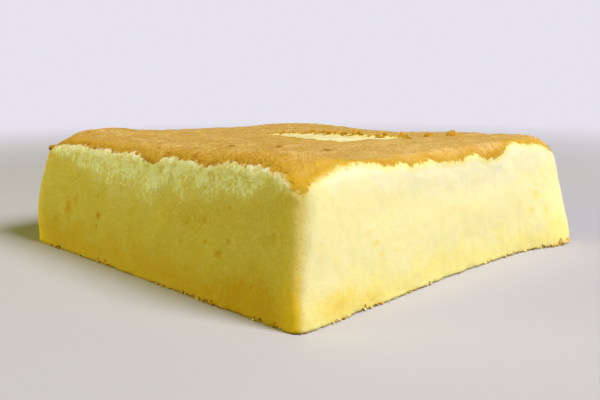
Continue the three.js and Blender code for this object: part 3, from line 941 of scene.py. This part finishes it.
class Finish:
    """A material under construction, with the textures that the baked finishes share."""

    def __init__(self, name):
        self.material = bpy.data.materials.new(name)
        self.material.use_nodes = True
        self.tree = self.material.node_tree
        self.shader = self.tree.nodes["Principled BSDF"]
        self.place = Wire.node(self.tree, "NewGeometry", out="Position")

    def attribute(self, key):
        return Wire.node(self.tree, "Attribute", {"attribute_name": key}, out="Fac")

    def speckle(self, size_mm, detail=2.0, stretch=(1, 1, 1)):
        """Noise around 0.5 with swells of the given size."""
        links = {0: self.place, 1: stretch}
        vector = Wire.node(self.tree, "VectorMath", {"operation": "MULTIPLY"}, links)
        links = {"Vector": vector, "Scale": MM_PER_M / size_mm, "Detail": detail}
        return Wire.node(self.tree, "TexNoise", {}, links, "Fac")

    def pits(self, size_mm, share):
        """Uneven pits, one in each of the given share of cells."""
        links = {"Vector": self.place, "Scale": 1.5 * MM_PER_M / size_mm}
        drift = Wire.node(self.tree, "TexNoise", {}, links, "Color")
        links = {0: drift, 1: [size_mm * MM * 0.7] * 3, 2: self.place}
        vector = Wire.node(self.tree, "VectorMath", {"operation": "MULTIPLY_ADD"}, links)
        links = {"Vector": vector, "Scale": MM_PER_M / size_mm}
        near = Wire.node(self.tree, "TexVoronoi", {}, links, "Distance")
        cell = Wire.node(self.tree, "TexVoronoi", {}, links, "Color")
        pick = Wire.node(self.tree, "SeparateColor", {}, {"Color": cell}, "Red")
        return near.between(0.45, 0.15) * pick.between(1 - share, 1.05 - share)

    def finish(self, base, roughness, relief, glow=0.0, deep=2.0):
        """Link the sockets, with relief in mm. A share glow of the light scatters inside, deep mm far."""
        links = {"Strength": 1.0, "Distance": MM, "Height": relief}
        bump = Wire.node(self.tree, "Bump", {}, links, "Normal")
        for wire, socket in ((base, "Base Color"), (roughness, "Roughness"), (bump, "Normal")):
            self.tree.links.new(wire.socket, self.shader.inputs[socket])
        even = {"Subsurface Weight": glow, "Subsurface Radius": SCATTER_REACH,
                "Subsurface Scale": deep * MM, "Specular IOR Level": SHINE}
        for socket, value in even.items():
            self.shader.inputs[socket].default_value = value
        print(self.material.name, "has", len(self.tree.nodes), "nodes")
        return self.material


# %% Tones of the crumb
def skin_tone(height, yellow_shade, corner_glow, stain, cloud, patch, grain, fine):
    """Skin of the walls, its own tones mixed with painted bounce light, shade and corner glow, and stains.
    """
    low = (height + (cloud - 0.5) * 30).between(32, 0)
    yellow = yellow_shade * (0.8 + low * 0.2) + (patch - 0.5) * 0.3 + (grain - 0.5) * 0.4 + (fine - 0.5) * 0.6
    # Low down the skin turns yellower: partly a deeper skin, partly painted warm bounce light from below.
    skin = (low.between(0.35, 1) * 0.95).tint(SKIN, BUTTER_AND_BOUNCE)
    # More yellow on the walls in shade: partly a yellower skin, partly painted shade.
    skin = yellow.between(0, 1.05).tint(skin, YOLK_AND_SHADE)
    # A deeper yellow low on the walls in shade: partly skin, partly painted shade and bounce light.
    skin = (low.between(0.25, 1) * yellow_shade * (0.1 + patch * 0.6 + fine * 0.4)).tint(skin, DEEP_AND_SHADE)
    # Painted glow: light coming through the cake round an upright corner, painted as a brighter yellow.
    skin = (corner_glow * (0.25 + low * 0.75)).tint(skin, GLOW_YELLOW)
    skin = (stain * (grain + fine * 1.6 - 0.3)).between(0.1, 1.1).tint(skin, yellow_shade.tint(HONEY, STAIN_AND_PORE_SHADE))
    return stain.between(0.9, 1.6).tint(skin, yellow_shade.tint(STAIN_AND_PORE_SHADE, SPOT))


def crumb_tone(skin, edge, torn, toast, yellow_shade, wisp_highlight, pore_shade, grain):
    """Paler torn crumb, whiter wisps partly painted highlight, painted shade in holes and under crust,
    browned foot.
    """
    crumb = (torn * (0.75 - yellow_shade * 0.33)).tint(skin, PALE)
    # Whiter wisps on the torn crumb: partly its own pale fibres, partly painted highlight where tufts
    # catch the light, most on the walls in shade.
    crumb = (wisp_highlight.between(0.12, 0.65) * (0.15 + yellow_shade * 0.85)).tint(crumb, FLUFF_HIGHLIGHT)
    # Painted shade in the pores and pits: the holes are tinted darker.
    crumb = pore_shade.tint(crumb, yellow_shade.tint(HONEY, STAIN_AND_PORE_SHADE))
    # Painted shade just under the crust's edge: a band of darker honey tone, strongest on the lit wall.
    crumb = (edge.between(-4, 0) * (0.7 - yellow_shade * 0.5)).tint(crumb, HONEY)
    return (toast * (0.6 + grain)).between(0.3, 0.9).tint(crumb, BROWN)


# %% Tones of the crust
def mottled_tone(yellow_shade, cloud, patch, grain, fine):
    """Tan of the crust, mottled from clouds down to fine grains."""
    golden = cloud.between(0.35, 0.65).tint(TAN, LIGHT_TAN)
    golden = (grain.between(0.4, 0.65) * 0.4).tint(golden, GOLD)
    golden = (patch.between(0.45, 0.65) * 0.8).tint(golden, TAN)
    golden = (patch.between(0.5, 0.3) * 0.7).tint(golden, LIGHT_TAN)
    # More gold over the walls in shade and, below, more light tan over the lit wall: painted shade and
    # light.
    golden = (fine.between(0.42, 0.62) * 0.3 + yellow_shade * 0.12).tint(golden, GOLD)
    golden = (fine.between(0.48, 0.68) * 0.4 + grain.between(0.52, 0.7) * 0.3).tint(golden, BROWN)
    return (fine.between(0.5, 0.32) * 0.55 + (1 - yellow_shade) * 0.15).tint(golden, LIGHT_TAN)


def crust_tone(golden, edge, ragged, toast, stain, yellow_shade, soft, patch, fine):
    """Mottled crust, golden with a darker hem at its edge, partly painted shade, burnt places and brown
    blisters.
    """
    # Near its edge the crust turns more golden, over a wider band on the walls in shade: partly a golden
    # edge, partly painted shade where the crust rolls over.
    cheek = (edge + (patch - 0.5) * 6).between(6 + yellow_shade * 3, 1)
    golden = (cheek * 0.7).tint(golden, GOLD)
    golden = soft.tint(golden, OCHRE)
    # A darker hem along the edge, amber over the walls in shade: partly a browner edge, partly painted
    # shade.
    hem = (edge + (patch - 0.5) * 3 + (fine - 0.5) * 2).between(3.4, 0.6) * (1 - soft * 0.7)
    golden = (hem * (0.45 + patch.between(0.4, 0.6) * 0.5)).tint(golden, yellow_shade.tint(MUSTARD, AMBER))
    # A brown line where the crust is thin, much stronger over the walls in shade: partly browning, partly
    # painted shade.
    thin = (ragged + soft * 4).between(2.5, 0.5) * (fine + patch).between(0.95, 1.2)
    golden = (thin * (0.1 + yellow_shade * 0.5 - soft * 0.2)).tint(golden, BROWN)
    golden = (stain * (0.5 + patch)).between(0.1, 1).tint(golden, AMBER)
    return (toast * 0.9).between(0.25, 1).tint(golden, BROWN)


# %% Cake finish
def cake_finish():
    look = Finish("cake_finish")
    edge, torn, toast, stain, height, soft, yellow_shade, corner_glow = map(
        look.attribute, ("edge", "torn", "toast", "stain", "height", "soft", "yellow_shade", "corner_glow"))
    dust, fine, grain = look.speckle(0.5, 1), look.speckle(1.1), look.speckle(2.4, 3, (1, 1, 1.4))
    patch, cloud = look.speckle(6, 3, (1, 1, 1.5)), look.speckle(16, 3)
    feather, tuft = look.speckle(1.4, 3, (1, 1, 0.8)), look.speckle(4.5, 3, (1, 1, 0.65))
    pores, pits = look.pits(1.8, 0.3), look.pits(5, 0.15)
    holes = 0.35 + yellow_shade * 0.65
    # Pores and pits tint the crumb darker, more on the walls in shade: painted shade in the holes.
    pore_shade = holes * (1 - torn * 0.8) * (pores * 0.35 + pits * 0.4)
    # Wisps of torn crumb, painted whiter: partly pale fibres, partly painted highlight.
    wisp_highlight = torn * (tuft.between(0.35, 0.65) * 0.5 + feather.between(0.4, 0.62) * 0.5)
    ragged = edge + (fine - 0.5) * 2.5 + (grain - 0.5) * 3
    crust = ragged.between(-0.5 - soft * 2, 0.5)

    skin = skin_tone(height, yellow_shade, corner_glow, stain, cloud, patch, grain, fine)
    crumb = crumb_tone(skin, edge, torn, toast, yellow_shade, wisp_highlight, pore_shade, grain)
    golden = mottled_tone(yellow_shade, cloud, patch, grain, fine)
    golden = crust_tone(golden, edge, ragged, toast, stain, yellow_shade, soft, patch, fine)
    roughness = 0.88 - crust * 0.2 + (fine - 0.5) * 0.2
    relief = (dust * 0.06 + fine * 0.12 + grain * 0.18 - pores * 0.1 - pits * 0.2) * holes
    shaggy = torn.between(0.4, 1) * (1 - crust) * yellow_shade
    relief = relief + shaggy * (feather * 0.15 + tuft * 0.25) + crust * (fine + grain - 1) * 0.45
    return look.finish(crust.tint(crumb, golden), roughness, relief, glow=0.35, deep=3.0)


cake.data.materials.append(cake_finish())

# %% [markdown]
# ## Finishes of the bits
# Flecks run from the skin's tone to that of torn crumb, bits of crust from gold to brown, and the grains
# at the foot from crumb to brown, by how toasted each is. The cake's material needs values that the bits
# don't have, so they share only its tones.

# %% Finishes of the bits
def fleck_finish():
    look = Finish("fleck_finish")
    fine, cloud = look.speckle(0.9), look.speckle(9)
    base = (look.attribute("pale") * 0.8 + fine * 0.4).between(0, 0.8).tint(SKIN, PALE)
    base = (cloud.between(0.5, 0.8) * 0.3).tint(base, PALE)
    return look.finish(base, 0.9 - fine * 0.1, fine * 0.15)


def crust_finish():
    look = Finish("crust_finish")
    fine, grain = look.speckle(0.8), look.speckle(2.2, 3)
    toast = look.attribute("toast")
    base = grain.between(0.35, 0.65).tint(GOLD, AMBER)
    base = (toast + (fine - 0.5) * 0.8).between(0.3, 1).tint(base, BROWN)
    return look.finish(base, 0.7 + fine * 0.15, (fine + grain) * 0.2)


def grain_finish():
    look = Finish("grain_finish")
    fine, grain = look.speckle(0.6), look.speckle(1.8, 3)
    toast = look.attribute("toast")
    base = grain.between(0.35, 0.65).tint(SKIN, YOLK_AND_SHADE)
    base = (toast + (grain - 0.5)).between(0.15, 0.6).tint(base, GOLD)
    base = (toast + (fine - 0.5) * 0.6).between(0.55, 1).tint(base, BROWN)
    return look.finish(base, 0.85 + (fine - 0.5) * 0.2, (fine + grain) * 0.25)


torn_bits.data.materials.append(fleck_finish())
crust_bits_finish = crust_finish()
crust_crumbs.data.materials.append(crust_bits_finish)
crust_flakes.data.materials.append(crust_bits_finish)
crumbs.data.materials.append(grain_finish())

# %% [markdown]
# ## Floor and light
# A pale floor fades into a pale backdrop. A large cool light stands high on the right, a weak yellow one
# low on the left, and a faint warm light comes from all round, so the right wall glows and the left wall
# keeps its yellow shade. A white floor would wash that out, so this one throws no light at the cake.

# %% Floor
BACKDROP = (0.79, 0.77, 0.85, 1)
FLOOR = (0.60, 0.58, 0.56, 1)
FLOOR_SIZE_M, FADE_FROM_M, FADE_TO_M = 60.0, 0.3, 1.1


def floor_finish():
    look = Finish("floor")
    tree, shader = look.tree, look.shader
    shader.inputs["Base Color"].default_value = FLOOR
    shader.inputs["Roughness"].default_value = 0.8
    away = Wire.node(tree, "VectorMath", {"operation": "LENGTH"}, {0: look.place}, "Value")
    glow = Wire.node(tree, "Emission", {}, {"Color": BACKDROP, "Strength": 1.0})
    links = {0: away.between(FADE_FROM_M, FADE_TO_M), 1: Wire(tree, shader.outputs[0]), 2: glow}
    mixed = Wire.node(tree, "MixShader", {}, links)
    tree.links.new(mixed.socket, tree.nodes["Material Output"].inputs["Surface"])
    return look.material


half = FLOOR_SIZE_M / 2
floor_mesh = bpy.data.meshes.new("floor")
floor_mesh.from_pydata([(-half, -half, 0), (half, -half, 0), (half, half, 0), (-half, half, 0)], [],
                       [(0, 1, 2, 3)])
floor_mesh.materials.append(floor_finish())
floor = bpy.data.objects.new("floor", floor_mesh)
collection.objects.link(floor)
floor.visible_diffuse = False
print("floor of", FLOOR_SIZE_M, "metres")

# %% Light
ROOM_LIGHT = (0.135, 0.123, 0.023, 1)
LIT_PLACE = (0, 0, 0.03)

world = bpy.data.worlds.new("room")
bpy.context.scene.world = world
world.use_nodes = True
room = world.node_tree
seen = Wire.node(room, "LightPath", out="Is Camera Ray")
room.links.new(seen.tint(ROOM_LIGHT, BACKDROP).socket, room.nodes["Background"].inputs["Color"])


def soft_light(name, place, size, watts, tone):
    data = bpy.data.lights.new(name, "AREA")
    data.shape, data.size = "DISK", size
    data.energy, data.color = watts, tone
    lamp = bpy.data.objects.new(name, data)
    lamp.location = place
    x, y, z = np.array(LIT_PLACE) - np.array(place)
    lamp.rotation_euler = (math.atan2(math.hypot(x, y), -z), 0, math.atan2(-x, y))
    collection.objects.link(lamp)
    print(name, "light of", watts, "watts")


soft_light("key", place=(2.22, 0.55, 2.0), size=1.3, watts=109, tone=(1, 1.0, 1.23))
soft_light("fill", place=(-0.75, -1.25, 0.35), size=0.8, watts=12.4, tone=(0.91, 0.92, 0.36))
bpy.context.scene.view_settings.view_transform = "Standard"
